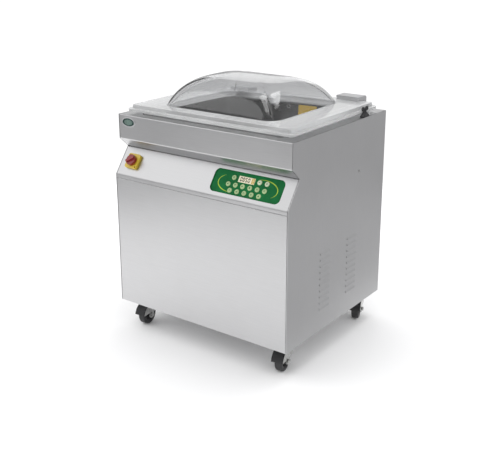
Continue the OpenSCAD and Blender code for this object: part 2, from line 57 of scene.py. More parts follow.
deck_lo, deck_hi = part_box("top_deck")
console_lo, console_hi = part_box("console_panel")
lid_lo, lid_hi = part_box("lid")
pad_lo, pad_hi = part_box("keypad_panel")

DECK = deck_hi.z
FASCIA = deck_lo.y
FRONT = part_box("lower_front_panel")[0].y
NOTCH_IN = 34 * MM
HEM = 12 * MM
SEAM = 0.3 * MM

# How far a point may lie off a face, and how near to each other two points are one
FLAT = 0.05 * MM
WELD = 0.002 * MM

# The console's own frame: across, up its slope and out of its face, from the fold at its foot
fold = Vector((0, FRONT, console_lo.z + HEM))
notch = Vector((0, FASCIA + NOTCH_IN, console_hi.z + SEAM))
up_slope = (notch - fold).normalized()
outward = Vector((0, -up_slope.z, up_slope.y))
CONSOLE = Matrix((
    (1, 0, 0, 0),
    (0, up_slope.y, outward.y, fold.y),
    (0, up_slope.z, outward.z, fold.z),
    (0, 0, 0, 1),
))


def face_centre(node, direction):
    """Middle of the face of a CAD node that lies furthest along a direction."""
    points = [v.co for v in frame["nodes"][node].data.vertices]
    reach = max(p.dot(direction) for p in points)
    face = [p for p in points if p.dot(direction) > reach - FLAT]
    lo = Vector(min(p[i] for p in face) for i in range(3))
    hi = Vector(max(p[i] for p in face) for i in range(3))
    return (lo + hi) / 2


def on_console(node):
    """Place across, up and out of the console of a node's outermost face."""
    return CONSOLE.inverted() @ face_centre(node, outward)


# ---------------------------------------------------------------- materials

NOISE_LOW, NOISE_HIGH = 0.3, 0.7


def new_material(name):
    """A new material, its node tree and its main shader."""
    material = bpy.data.materials.new(name)
    material.use_nodes = True
    nodes = material.node_tree.nodes
    return material, material.node_tree, nodes["Principled BSDF"]


def noise(tree, scale, stretch=(1, 1, 1), detail=3.0, roughness=0.55):
    """Noise in the object's own coordinates, drawn out along an axis where its stretch is small."""
    place = tree.nodes.new("ShaderNodeTexCoord")
    mapping = tree.nodes.new("ShaderNodeMapping")
    mapping.inputs["Scale"].default_value = stretch
    texture = tree.nodes.new("ShaderNodeTexNoise")
    texture.inputs["Scale"].default_value = scale
    texture.inputs["Detail"].default_value = detail
    texture.inputs["Roughness"].default_value = roughness
    tree.links.new(place.outputs["Object"], mapping.inputs["Vector"])
    tree.links.new(mapping.outputs["Vector"], texture.inputs["Vector"])
    return texture.outputs["Fac"]


def ramp(tree, factor, low, high, start=NOISE_LOW, end=NOISE_HIGH):
    """A colour ramp from low to high."""
    node = tree.nodes.new("ShaderNodeValToRGB")
    node.color_ramp.elements[0].position = start
    node.color_ramp.elements[1].position = end
    node.color_ramp.elements[0].color = (*low, 1)
    node.color_ramp.elements[1].color = (*high, 1)
    tree.links.new(factor, node.inputs["Fac"])
    return node.outputs["Color"]


def span(tree, factor, low, high):
    """Maps a noise factor onto low to high."""
    node = tree.nodes.new("ShaderNodeMapRange")
    node.inputs["From Min"].default_value = NOISE_LOW
    node.inputs["From Max"].default_value = NOISE_HIGH
    node.inputs["To Min"].default_value = low
    node.inputs["To Max"].default_value = high
    tree.links.new(factor, node.inputs["Value"])
    return node.outputs["Result"]


def bump(tree, bsdf, height, strength, distance):
    """Fine relief from a height factor."""
    node = tree.nodes.new("ShaderNodeBump")
    node.inputs["Strength"].default_value = strength
    node.inputs["Distance"].default_value = distance
    tree.links.new(height, node.inputs["Height"])
    tree.links.new(node.outputs["Normal"], bsdf.inputs["Normal"])


def shade(tone, share):
    """A tone made darker or lighter by a share."""
    return tuple(min(1.0, c * share) for c in tone)


def tint(tree, bsdf, factor, tone, spread):
    """Varies the base colour about a tone by a share either way."""
    tones = ramp(tree, factor, shade(tone, 1 - spread), shade(tone, 1 + spread))
    tree.links.new(tones, bsdf.inputs["Base Color"])


def brushed(name, tone, rough, along, spread=0.05, grain=0.12):
    """Sheet metal brushed along one axis: fine drawn-out lines over faint cloudy patches."""
    material, tree, bsdf = new_material(name)
    drawn_out, cloud_share = 0.02, 0.45
    stretch = [1.0, 1.0, 1.0]
    stretch[along] = drawn_out
    lines = noise(tree, 900, stretch, detail=2)
    clouds = noise(tree, 5, detail=3)
    mix = tree.nodes.new("ShaderNodeMix")
    mix.data_type = "FLOAT"
    mix.inputs["Factor"].default_value = cloud_share
    tree.links.new(lines, mix.inputs["A"])
    tree.links.new(clouds, mix.inputs["B"])
    both = mix.outputs["Result"]
    tint(tree, bsdf, both, tone, spread)
    tree.links.new(span(tree, both, rough * 0.85, rough * 1.15), bsdf.inputs["Roughness"])
    bsdf.inputs["Metallic"].default_value = 1.0
    bump(tree, bsdf, lines, grain, 0.05 * MM)
    return material


def moulded(name, tone, rough, grain=600, depth=0.1, spread=0.12, coat=0.0, gloss=0.5):
    """Moulded plastic or rubber: an even tone with cloudy variation and a fine pebbled grain."""
    material, tree, bsdf = new_material(name)
    clouds = noise(tree, 30, detail=4)
    pebbles = noise(tree, grain, detail=2)
    tint(tree, bsdf, clouds, tone, spread)
    tree.links.new(span(tree, pebbles, rough - 0.06, rough + 0.06), bsdf.inputs["Roughness"])
    bsdf.inputs["Specular IOR Level"].default_value = gloss
    bsdf.inputs["Coat Weight"].default_value = coat
    bsdf.inputs["Coat Roughness"].default_value = 0.15
    bump(tree, bsdf, pebbles, depth, 0.1 * MM)
    return material


def plated(name, tone, rough):
    """Plated or cast metal with a mottled skin."""
    material, tree, bsdf = new_material(name)
    mottle = noise(tree, 60, detail=5, roughness=0.65)
    tint(tree, bsdf, mottle, tone, 0.12)
    tree.links.new(span(tree, mottle, rough - 0.08, rough + 0.08), bsdf.inputs["Roughness"])
    bsdf.inputs["Metallic"].default_value = 1.0
    bump(tree, bsdf, mottle, 0.08, 0.1 * MM)
    return material


def woven(name, tone, pitch=0.6 * MM):
    """Coated cloth: two crossed sets of threads."""
    material, tree, bsdf = new_material(name)
    place = tree.nodes.new("ShaderNodeTexCoord")
    waves = []
    for axis in ("X", "Y"):
        wave = tree.nodes.new("ShaderNodeTexWave")
        wave.bands_direction = axis
        wave.inputs["Scale"].default_value = 0.3 / pitch
        wave.inputs["Distortion"].default_value = 0.4
        tree.links.new(place.outputs["Object"], wave.inputs["Vector"])
        waves.append(wave.outputs["Fac"])
    weave = tree.nodes.new("ShaderNodeMath")
    weave.operation = "MULTIPLY"
    tree.links.new(waves[0], weave.inputs[0])
    tree.links.new(waves[1], weave.inputs[1])
    tree.links.new(ramp(tree, weave.outputs[0], shade(tone, 0.75), tone, 0, 1), bsdf.inputs["Base Color"])
    bsdf.inputs["Roughness"].default_value = 0.45
    bump(tree, bsdf, weave.outputs[0], 0.3, 0.1 * MM)
    return material


def acrylic(name, tone, rough, through, gloss, streaks=0.03):
    """Formed plastic from clear to whitish, its colour darkened in soft streaks of painted shade for dark things
    seen through it.  Lamps shine through it.
    """
    material, tree, bsdf = new_material(name)
    ripple_relief_and_shade = noise(tree, 9, (1, 0.35, 1), detail=2)
    fine = noise(tree, 120, detail=2)
    # Painted shade: soft dark streaks in the colour; the same noise also gives real ripples in the bump
    tree.links.new(ramp(tree, ripple_relief_and_shade, shade(tone, 1 - streaks), tone), bsdf.inputs["Base Color"])
    tree.links.new(span(tree, fine, rough * 0.6, rough * 1.4), bsdf.inputs["Roughness"])
    bsdf.inputs["Transmission Weight"].default_value = through
    bsdf.inputs["Specular IOR Level"].default_value = gloss
    bsdf.inputs["IOR"].default_value = 1.49
    bump(tree, bsdf, ripple_relief_and_shade, 0.15, 1.5 * MM)
    open_way = tree.nodes.new("ShaderNodeBsdfTransparent")
    open_way.inputs["Color"].default_value = (0.9, 0.9, 0.9, 1)
    path = tree.nodes.new("ShaderNodeLightPath")
    mix = tree.nodes.new("ShaderNodeMixShader")
    tree.links.new(path.outputs["Is Shadow Ray"], mix.inputs["Fac"])
    tree.links.new(bsdf.outputs["BSDF"], mix.inputs[1])
    tree.links.new(open_way.outputs["BSDF"], mix.inputs[2])
    tree.links.new(mix.outputs["Shader"], tree.nodes["Material Output"].inputs["Surface"])
    return material


STEEL_TONE = (0.60, 0.60, 0.605)
steel_x = brushed("steel_brushed_across", STEEL_TONE, 0.34, 0)
steel_z = brushed("steel_brushed_upright", STEEL_TONE, 0.34, 2)
# Painted shade: the chamber's steel is given a darker tone than the cabinet's, for the chamber's dark inside
steel_chamber_painted_shade = brushed("steel_chamber_painted_shade", (0.42, 0.42, 0.425), 0.14, 0, 0.12, 0.01)
aluminium = brushed("aluminium_satin", (0.66, 0.66, 0.67), 0.34, 0, 0.04)
zinc = plated("zinc_bright", (0.58, 0.58, 0.57), 0.28)
brass = plated("brass_satin", (0.66, 0.5, 0.25), 0.34)
clear = acrylic("acrylic_clear", (0.90, 0.905, 0.91), 0.035, 0.985, 0.3)
# Painted light: the flange's clear acrylic made whitish for the bright light it reflects, with painted shade in
# its darker streaks
flange_painted_light = acrylic("acrylic_flange_painted_light", (0.80, 0.805, 0.81), 0.14, 0.62, 0.4, 0.15)
black = moulded("plastic_black", (0.018, 0.018, 0.02), 0.42)
rubber = moulded("rubber_wheel", (0.03, 0.03, 0.032), 0.55, 350, 0.2)
silicone_grey = moulded("silicone_light", (0.66, 0.66, 0.66), 0.5, 500, 0.08, 0.05)
silicone_red = moulded("silicone_red", (0.42, 0.09, 0.05), 0.5, 500, 0.08)
green = moulded("film_green", (0.006, 0.125, 0.034), 0.62, 900, 0.06, 0.2, 0.0, 0.12)
cream = moulded("button_cream", (0.36, 0.48, 0.24), 0.42, 700, 0.05, 0.08, 0.1, 0.3)
white = moulded("button_white", (0.54, 0.60, 0.42), 0.42, 700, 0.05, 0.06, 0.1, 0.3)
lime = moulded("print_lime", (0.36, 0.50, 0.05), 0.55, 700, 0.04, 0.25, 0.0, 0.15)
leaf = moulded("print_green", (0.012, 0.11, 0.03), 0.55, 700, 0.04, 0.15, 0.0, 0.2)
display = moulded("display_cream", (0.72, 0.68, 0.50), 0.30, 900, 0.02, 0.05, 0.1, 0.3)
segment = moulded("display_segment", (0.01, 0.01, 0.01), 0.45, 700, 0.02, 0.12, 0.0, 0.2)
amber = moulded("print_amber", (0.50, 0.33, 0.04), 0.5, 700, 0.04, 0.1, 0.0, 0.2)
yellow = moulded("plate_yellow", (0.56, 0.40, 0.035), 0.34, 700, 0.06, 0.12, 0.2)
red = moulded("knob_red", (0.20, 0.008, 0.010), 0.28, 700, 0.05, 0.12, 0.4)
enamel = moulded("badge_enamel", (0.012, 0.040, 0.034), 0.3, 250, 0.05, 0.35, 0.2)
enamel_pale = moulded("badge_enamel_pale", (0.11, 0.17, 0.15), 0.3, 250, 0.05, 0.25, 0.2)
label_film = moulded("label_film", (0.95, 0.60, 0.015), 0.35, 400, 0.03, 0.06, 0.3)
pump_paint = moulded("paint_hammered", (0.06, 0.075, 0.09), 0.32, 160, 0.5, 0.15, 0.4)
board = moulded("board_green", (0.02, 0.12, 0.05), 0.4, 300, 0.1, 0.2, 0.4)
copper = moulded("winding_lacquer", (0.22, 0.09, 0.03), 0.34, 420, 0.5, 0.25, 0.5)
tape = woven("heat_tape", (0.24, 0.13, 0.06))

MATERIALS = {
    "brushed_steel": steel_x, "chamber_steel": steel_chamber_painted_shade, "aluminium": aluminium,
    "zinc_steel": zinc, "brass": brass, "clear_acrylic": clear, "black_plastic": black,
    "wheel_rubber": rubber, "silicone": silicone_grey, "red_silicone": silicone_red,
    "green_keypad": green, "cream_button": cream, "display": display,
    "yellow_plate": yellow, "red_knob": red, "pump_paint": pump_paint,
    "board_green": board, "copper_lacquer": copper, "heat_tape": tape,
}

# ---------------------------------------------------------------- mesh helpers

SMOOTH_BELOW = math.radians(34)
SHARP_ABOVE = math.radians(25)
SHEET = 1.5 * MM
LONG_FOLD = 0.4


def finish_mesh(bm, name, material):
    """Turns a bmesh into an object with smooth faces and sharp creases."""
    bmesh.ops.recalc_face_normals(bm, faces=bm.faces)
    for face in bm.faces:
        face.smooth = True
    for edge in bm.edges:
        edge.smooth = len(edge.link_faces) == 2 and edge.calc_face_angle(0) < SMOOTH_BELOW
    mesh = bpy.data.meshes.new(name)
    bm.to_mesh(mesh)
    bm.free()
    mesh.materials.append(material)
    obj = bpy.data.objects.new(name, mesh)
    bpy.context.scene.collection.objects.link(obj)
    normals = obj.modifiers.new("even_normals", "WEIGHTED_NORMAL")
    normals.keep_sharp = True
    return obj


def place(obj, body, slot, *nodes):
    """Rides on a body and stands for the CAD nodes named, which it hides.  The slot is not used."""
    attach(obj, body)
    if nodes:
        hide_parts(*nodes)
    return obj


def body_of(node):
    return next(body for body, members in frame["record"]["behaviour"]["bodies"].items() if node in members)


SLOTS = {part["node"]: part["material_slot"] for part in frame["record"]["subparts"]}


def is_fold(edge):
    """Whether an edge is a long fold along X between two faces wider than a sheet's thickness."""
    along = edge.verts[1].co - edge.verts[0].co
    if len(edge.link_faces) != 2 or along.length < LONG_FOLD or abs(along.normalized().x) < 0.999:
        return False
    return min(face.calc_area() / along.length for face in edge.link_faces) > 2.5 * SHEET


def bend_folds(bm, radius):
    """Rounds the long folds of a sheet: the outer skin by radius, the inner one by less."""
    for convex, r in ((True, radius), (False, radius - SHEET)):
        edges = [e for e in bm.edges if is_fold(e) and e.is_convex == convex and e.calc_face_angle(0) > 0.3]
        if edges:
            bmesh.ops.bevel(
                bm, geom=edges, offset=r, offset_type="OFFSET", segments=4, profile=0.5,
                affect="EDGES", clamp_overlap=True
            )


def rounded(node, width, material, segments=2, bend=0):
    """A copy of a CAD node with its folds and edges rounded off, which stands for it."""
    bm = bmesh.new()
    bm.from_mesh(frame["nodes"][node].data)
    bmesh.ops.remove_doubles(bm, verts=bm.verts, dist=WELD)
    bmesh.ops.dissolve_limit(
        bm, angle_limit=math.radians(3), verts=bm.verts, edges=bm.edges, delimit={"NORMAL"}
    )
    if bend:
        bend_folds(bm, bend)
    edges = [e for e in bm.edges if len(e.link_faces) == 2 and e.calc_face_angle(0) > SHARP_ABOVE]
    bmesh.ops.bevel(
        bm, geom=edges, offset=width, offset_type="OFFSET", segments=segments,
        profile=0.5, affect="EDGES", clamp_overlap=True
    )
    obj = finish_mesh(bm, node + "_shown", material)
    return place(obj, body_of(node), SLOTS[node], node)


def lathe(profile, steps):
    """A bmesh turned from (radius, height) points about Z, closed where the radius is zero."""
    bm = bmesh.new()
    rings = []
    for radius, height in profile:
        if radius < 1e-9:
            rings.append([bm.verts.new((0, 0, height))])
            continue
        turns = [2 * math.pi * i / steps for i in range(steps)]
        rings.append([bm.verts.new((radius * math.cos(a), radius * math.sin(a), height)) for a in turns])
    for low, high in zip(rings, rings[1:]):
        for i in range(steps):
            j = (i + 1) % steps
            corners = [low[i % len(low)], low[j % len(low)], high[j % len(high)], high[i % len(high)]]
            unique = list(dict.fromkeys(corners))
            if len(unique) > 2:
                bm.faces.new(unique)
    return bm


def arc(cx, cy, radius, start, end, steps):
    """Points on an arc, in degrees."""
    angles = [math.radians(start + (end - start) * i / steps) for i in range(steps + 1)]
    return [(cx + radius * math.cos(a), cy + radius * math.sin(a)) for a in angles]


def slab(bm, outline, low, high):
    """A closed prism over a flat outline."""
    under = [bm.verts.new((x, y, low)) for x, y in outline]
    over = [bm.verts.new((x, y, high)) for x, y in outline]
    bm.faces.new(list(reversed(under)))
    bm.faces.new(over)
    for i in range(len(outline)):
        j = (i + 1) % len(outline)
        bm.faces.new((under[i], under[j], over[j], over[i]))


def rect(cx, cy, w, h):
    left, right, low, high = cx - w / 2, cx + w / 2, cy - h / 2, cy + h / 2
    return [(left, low), (right, low), (right, high), (left, high)]


def round_rect(cx, cy, w, h, r, steps=6):
    corners = [(1, -1, -90), (1, 1, 0), (-1, 1, 90), (-1, -1, 180)]
    points = []
    for sx, sy, start in corners:
        points += arc(cx + sx * (w / 2 - r), cy + sy * (h / 2 - r), r, start, start + 90, steps)
    return points


def turned(bm, matrix):
    """A bmesh moved from its own axes to its place."""
    bmesh.ops.transform(bm, matrix=matrix, verts=bm.verts)
    return bm


# ---------------------------------------------------------------- camera, floor and light

SENSOR = 36.0
TILT, TURN = math.radians(16.93), math.radians(35.93)
camera_data = bpy.data.cameras.new("camera")
camera = bpy.data.objects.new("camera", camera_data)
bpy.context.scene.collection.objects.link(camera)
bpy.context.scene.camera = camera
camera_data.sensor_width = SENSOR
camera_data.lens = 60.55
camera_data.shift_y = -0.08
camera.location = (1.4907, -2.070, 1.2413)
camera.rotation_euler = (math.pi / 2 - TILT, 0, TURN)


def grey(level):
    """A grey a touch on the cool side."""
    return (level, level, level + 0.005, 1)


FLOOR_R = 1.7
FLOOR_TONE = grey(0.93)
# Painted shade: the floor's colour as the steel sees it, pale on the key lamp's side and darker away from it
MIRRORED_KEY_SIDE, MIRRORED_PAINTED_SHADE = grey(0.92), grey(0.44)
FALL_FROM, FALL_TO = 0.25, 0.60
floor_bm = bmesh.new()
bmesh.ops.create_circle(floor_bm, cap_ends=True, segments=96, radius=FLOOR_R)
floor_material, floor_tree, floor_bsdf = new_material("floor_pale")
floor_bsdf.inputs["Roughness"].default_value = 0.9
floor_bsdf.inputs["Specular IOR Level"].default_value = 0.1


def shade_floor():
    """The floor stays white to the eye; seen in the steel, its colour carries painted shade, darker on the side
    away from the key lamp.
    """
    tree = floor_tree
    place = tree.nodes.new("ShaderNodeTexCoord")
    parts = tree.nodes.new("ShaderNodeSeparateXYZ")
    tree.links.new(place.outputs["Object"], parts.inputs[0])
    fall = tree.nodes.new("ShaderNodeMapRange")
    fall.interpolation_type = "SMOOTHSTEP"
    fall.inputs["From Min"].default_value = FALL_FROM
    fall.inputs["From Max"].default_value = FALL_TO
    tree.links.new(parts.outputs["X"], fall.inputs["Value"])
    # painted shade across X, away from the key lamp
    tones = ramp(tree, fall.outputs["Result"], MIRRORED_KEY_SIDE[:3], MIRRORED_PAINTED_SHADE[:3], 0, 1)
    ray = tree.nodes.new("ShaderNodeLightPath")
    mix = tree.nodes.new("ShaderNodeMix")
    mix.data_type = "RGBA"
    mix.inputs[6].default_value = FLOOR_TONE
    tree.links.new(ray.outputs["Is Glossy Ray"], mix.inputs["Factor"])
    tree.links.new(tones, mix.inputs[7])
    tree.links.new(mix.outputs[2], floor_bsdf.inputs["Base Color"])


shade_floor()
floor = finish_mesh(floor_bm, "floor", floor_material)


def softbox(name, direction, distance, size, power, aim=(0, 0, 0.4)):
    """A rectangular lamp, standing off from its aim along a direction."""
    data = bpy.data.lights.new(name, "AREA")
    data.shape = "RECTANGLE"
    data.size, data.size_y = size
    data.energy = power
    lamp = bpy.data.objects.new(name, data)
    bpy.context.scene.collection.objects.link(lamp)
    way = Vector(direction).normalized()
    lamp.location = Vector(aim) + way * distance
    lamp.rotation_euler = way.to_track_quat("Z", "Y").to_euler()
    lamp.visible_camera = False


softbox("key", direction=(-0.56, -0.51, 0.65), distance=3.2, size=(2.8, 2.6), power=23)
softbox("overhead", direction=(0.1, 0.25, 1.0), distance=2.6, size=(1.6, 1.6), power=20)
softbox("rear", direction=(-0.56, 0.78, 0.30), distance=3.4, size=(2.6, 1.0), power=4, aim=(0, 0, 0.7))

BELOW, HORIZON, ABOVE, THROUGH_LID = grey(0.44), grey(0.58), grey(0.27), grey(0.62)
BACKDROP_STRENGTH = 1.08


def build_world():
    """White to the eye and on the floor, a grey studio in reflections, paler through the lid."""
    world = bpy.data.worlds.new("studio")
    bpy.context.scene.world = world
    world.use_nodes = True
    world.cycles.sampling_method = "NONE"
    tree = world.node_tree
    studio = tree.nodes["Background"]
    way = tree.nodes.new("ShaderNodeTexCoord")
    parts = tree.nodes.new("ShaderNodeSeparateXYZ")
    tree.links.new(way.outputs["Generated"], parts.inputs[0])
    tones = tree.nodes.new("ShaderNodeValToRGB")
    tones.color_ramp.interpolation = "EASE"
    tones.color_ramp.elements[0].position = 0.30
    tones.color_ramp.elements[0].color = BELOW
    tones.color_ramp.elements[1].position = 0.85
    tones.color_ramp.elements[1].color = ABOVE
    horizon = tones.color_ramp.elements.new(0.52)
    horizon.color = HORIZON
    height = tree.nodes.new("ShaderNodeMapRange")
    height.inputs["From Min"].default_value = -1
    tree.links.new(parts.outputs["Z"], height.inputs["Value"])
    tree.links.new(height.outputs["Result"], tones.inputs["Fac"])
    tree.links.new(tones.outputs["Color"], studio.inputs["Color"])
    white = tree.nodes.new("ShaderNodeBackground")
    white.inputs["Color"].default_value = (1, 1, 1, 1)
    white.inputs["Strength"].default_value = BACKDROP_STRENGTH
    ray = tree.nodes.new("ShaderNodeLightPath")
    either = tree.nodes.new("ShaderNodeMath")
    either.operation = "MAXIMUM"
    tree.links.new(ray.outputs["Is Camera Ray"], either.inputs[0])
    tree.links.new(ray.outputs["Is Diffuse Ray"], either.inputs[1])
    pale = tree.nodes.new("ShaderNodeBackground")
    pale.inputs["Color"].default_value = THROUGH_LID
    beyond = tree.nodes.new("ShaderNodeMixShader")
    tree.links.new(ray.outputs["Is Transmission Ray"], beyond.inputs["Fac"])
    tree.links.new(studio.outputs["Background"], beyond.inputs[1])
    tree.links.new(pale.outputs["Background"], beyond.inputs[2])
    choose = tree.nodes.new("ShaderNodeMixShader")
    tree.links.new(either.outputs[0], choose.inputs["Fac"])
    tree.links.new(beyond.outputs["Shader"], choose.inputs[1])
    tree.links.new(white.outputs["Background"], choose.inputs[2])
    tree.links.new(choose.outputs["Shader"], tree.nodes["World Output"].inputs["Surface"])


build_world()
bpy.context.scene.view_settings.view_transform = "Standard"

# ---------------------------------------------------------------- CAD nodes that stay

for name, node in frame["nodes"].items():
    material = MATERIALS[SLOTS[name]]
    node.data.materials.clear()
    node.data.materials.append(material)

# ---------------------------------------------------------------- cabinet panels

for node, width, bend, material in (
    ("top_deck", 0.5 * MM, 3 * MM, steel_x),
    ("console_panel", 0.5 * MM, 3.5 * MM, steel_x),
    ("lower_front_panel", 0.6 * MM, 2.5 * MM, steel_x),
    ("side_panel_left", 0.6 * MM, 0, steel_z),
    ("side_panel_right", 0.6 * MM, 0, steel_z),
    ("back_panel", 0.5 * MM, 0, steel_z),
    ("chamber_tank", 0.7 * MM, 0, steel_chamber_painted_shade),
):
    rounded(node, width, material, bend=bend)

# ---------------------------------------------------------------- lid

LID_D = 489 * MM
LIP_W = 12 * MM
EDGE_R, RAISED_R = 18 * MM, 8 * MM
DOME_W, DOME_D, DOME_R = 416 * MM, 368 * MM, 45 * MM
DOME_IN = 255 * MM
WALL = 6 * MM
SIDE_EASE, FRONT_EASE, CROWN_EASE = 5.6, 3.1, 0.64
FLANGE_LOW = lid_lo.z
LIP_TOP = FLANGE_LOW + 8 * MM
FLANGE_TOP = FLANGE_LOW + 19.5 * MM
DOME_TOP = lid_hi.z
dome_mid = Vector((0, FASCIA + DOME_IN, 0))
lid_mid = Vector((0, lid_lo.y + LID_D / 2, 0))


def lift(u, v):
    """Height of the blown dome over its foot, from 0 at its edges to 1 in the middle."""
    return ((1 - abs(u) ** SIDE_EASE) * (1 - abs(v) ** FRONT_EASE)) ** CROWN_EASE


def crowded(i, n):
    """Step i of n from -1 to 1, closer together towards both ends."""
    return math.sin(math.pi / 2 * (2 * i / n - 1))


def on_round_rect(p, half, r):
    """Moves a point on the unit square's edge to a rectangle with round corners."""
    x, y = p[0] * half[0], p[1] * half[1]
    ax, ay = abs(x) - (half[0] - r), abs(y) - (half[1] - r)
    if ax > 0 and ay > 0:
        reach = math.hypot(ax, ay)
        x = math.copysign(half[0] - r + r * ax / reach, x)
        y = math.copysign(half[1] - r + r * ay / reach, y)
    return x, y


def grown(half, by):
    """Half sizes made larger on each side."""
    return half[0] + by, half[1] + by


def make_lid():
    """A clear dome and its flange in one moulding, open underneath.  The flange's whitish tone is painted
    reflection.
    """
    bm = bmesh.new()
    across, deep = 96, 80
    base = FLANGE_TOP - 1 * MM

    def skin(half_w, half_d, corner_r, top):
        grid = []
        for j in range(deep + 1):
            row = []
            for i in range(across + 1):
                u, v = crowded(i, across), crowded(j, deep)
                z = base + (top - base) * lift(u, v)
                m = max(abs(u), abs(v), 1e-6)
                x, y = on_round_rect((u / m, v / m), (half_w, half_d), corner_r)
                row.append(bm.verts.new((m * x, dome_mid.y + m * y, z)))
            grid.append(row)
        for j in range(deep):
            for i in range(across):
                bm.faces.new((grid[j][i], grid[j][i + 1], grid[j + 1][i + 1], grid[j + 1][i]))
        return grid

    def rim_of(grid):
        return (
            grid[0][:-1] + [row[-1] for row in grid[:-1]]
            + grid[-1][:0:-1] + [row[0] for row in grid[:0:-1]]
        )

    outer = rim_of(skin(DOME_W / 2, DOME_D / 2, DOME_R, DOME_TOP))
    inner = rim_of(skin(DOME_W / 2 - WALL, DOME_D / 2 - WALL, DOME_R - WALL, DOME_TOP - WALL))
    unit = (
        [(crowded(i, across), -1) for i in range(across)]
        + [(1, crowded(j, deep)) for j in range(deep)]
        + [(crowded(i, across), 1) for i in range(across, 0, -1)]
        + [(-1, crowded(j, deep)) for j in range(deep, 0, -1)]
    )
    lid_half = (lid_hi.x, LID_D / 2)
    raised = grown(lid_half, -LIP_W)
    foot = (DOME_W / 2, DOME_D / 2)
    bore = grown(foot, -WALL / 2)
    bore_r = DOME_R - WALL / 2
    soft, bulge = 1.2 * MM, 0.36 * MM
    loops = [
        (dome_mid, grown(foot, 0.5 * MM), DOME_R + 0.5 * MM, FLANGE_TOP + soft),
        (dome_mid, grown(foot, 2 * MM), DOME_R + 2 * MM, FLANGE_TOP),
        (lid_mid, grown(raised, -soft), RAISED_R, FLANGE_TOP),
        (lid_mid, grown(raised, -bulge), RAISED_R, FLANGE_TOP - bulge),
        (lid_mid, raised, RAISED_R, FLANGE_TOP - soft),
        (lid_mid, grown(raised, 0.3 * MM), RAISED_R, LIP_TOP + soft),
        (lid_mid, grown(raised, soft), RAISED_R, LIP_TOP),
        (lid_mid, grown(lid_half, -soft), EDGE_R - 1 * MM, LIP_TOP),
        (lid_mid, grown(lid_half, -bulge), EDGE_R, LIP_TOP - bulge),
        (lid_mid, lid_half, EDGE_R, LIP_TOP - soft),
        (lid_mid, lid_half, EDGE_R, FLANGE_LOW + soft),
        (lid_mid, grown(lid_half, -soft), EDGE_R - 1 * MM, FLANGE_LOW),
        (dome_mid, grown(bore, soft), bore_r + soft, FLANGE_LOW),
        (dome_mid, bore, bore_r, FLANGE_LOW + soft),
        (dome_mid, bore, bore_r, FLANGE_TOP - 4 * MM),
    ]
    rings = [outer]
    for middle, half, r, z in loops:
        ring = []
        for p in unit:
            x, y = on_round_rect(p, half, r)
            ring.append(bm.verts.new((x, middle.y + y, z)))
        rings.append(ring)
    rings.append(inner)
    count = len(unit)
    for a, b in zip(rings, rings[1:]):
        for i in range(count):
            j = (i + 1) % count
            bm.faces.new((a[i], a[j], b[j], b[i])).material_index = 1
    moulding = finish_mesh(bm, "lid_moulding", clear)
    # The flange takes the whitish acrylic, with its painted reflection and painted shade
    moulding.data.materials.append(flange_painted_light)
    return moulding


place(make_lid(), "lid", "clear_acrylic", "lid")
rounded("lid_gasket", 2.2 * MM, silicone_grey, 3)
rounded("hinge_blocks", 0.9 * MM, aluminium)
rounded("counter_bar", 0.8 * MM, aluminium)
rounded("counter_pad", 1.2 * MM, silicone_red, 3)
rounded("seal_bar", 0.8 * MM, aluminium)

# ---------------------------------------------------------------- controls

rounded("switch_plate", 1.4 * MM, yellow, 3)
rounded("switch_knob", 1.3 * MM, red, 3)
rounded("keypad_panel", 0.5 * MM, green)
rounded("lcd_window", 0.6 * MM, display)
rounded("clamp_foot", 0.5 * MM, black)
rounded("clamp_wing", 0.8 * MM, black)
rounded("cord_gland", 0.8 * MM, black)


def print_on(name, outlines, matrix, height, body, slot, material, depth=0.3 * MM):
    """Thin raised print: flat outlines that stand a little above a surface."""
    bm = bmesh.new()
    for outline in outlines:
        slab(bm, outline, -depth, height)
    place(finish_mesh(turned(bm, matrix), name, material), body, slot)


def in_mm(outline):
    """Metres from an outline or profile in millimetres."""
    return [(x * MM, y * MM) for x, y in outline]


def band(cx, cy, rx, ry, start, end, width, steps=28):
    """A crescent along an ellipse that tapers to points at both ends."""
    inner, outer = [], []
    for i in range(steps + 1):
        share = i / steps
        a = math.radians(start + (end - start) * share)
        half = width / 2 * (0.08 + math.sin(math.pi * share) ** 0.8)
        x, y = math.cos(a), math.sin(a)
        outer.append((cx + (rx + half) * x, cy + (ry + half) * y))
        inner.append((cx + (rx - half) * x, cy + (ry - half) * y))
    return outer + inner[::-1]


def half_ring(radius, width, start):
    """Half of a flat ring, from a start angle in degrees."""
    return arc(0, 0, radius, start, start + 180, 10) + arc(0, 0, radius - width, start + 180, start, 10)


# The marks, in millimetres
BAR = [rect(0, 0, 6.0, 1.3)]
PLUS = [rect(0, 0, 6.0, 1.3), rect(0, 1.85, 1.3, 2.4), rect(0, -1.85, 1.3, 2.4)]
UP = [[(-2.9, -2.0), (2.9, -2.0), (0, 2.9)]]
DOWN = [[(-2.9, 2.0), (0, -2.9), (2.9, 2.0)]]
PLAY = [[(-2.0, -2.9), (2.9, 0), (-2.0, 2.9)]]
STOP = [rect(0, 0, 4.6, 4.6)]
PAUSE = [rect(-1.6, 0, 1.5, 5.2), rect(1.6, 0, 1.5, 5.2)]
RING = [half_ring(3.1, 1.1, 0), half_ring(3.1, 1.1, 180)]
DOT = [arc(0, 0, 1.9, 0, 345, 14)]
LINES = [rect(0, y, 5.6, 0.9) for y in (-2.0, 0, 2.0)]
STEPS = [rect(-2.2, -1.3, 1.5, 2.2), rect(0, -0.5, 1.5, 3.8), rect(2.2, 0.3, 1.5, 5.4)]
MARKS = [RING, BAR, PLUS, UP, DOWN, PLAY, STOP, PAUSE, LINES, DOT, STEPS, RING, PLUS, UP]
WHITE_BUTTONS = ("button_2", "button_3")

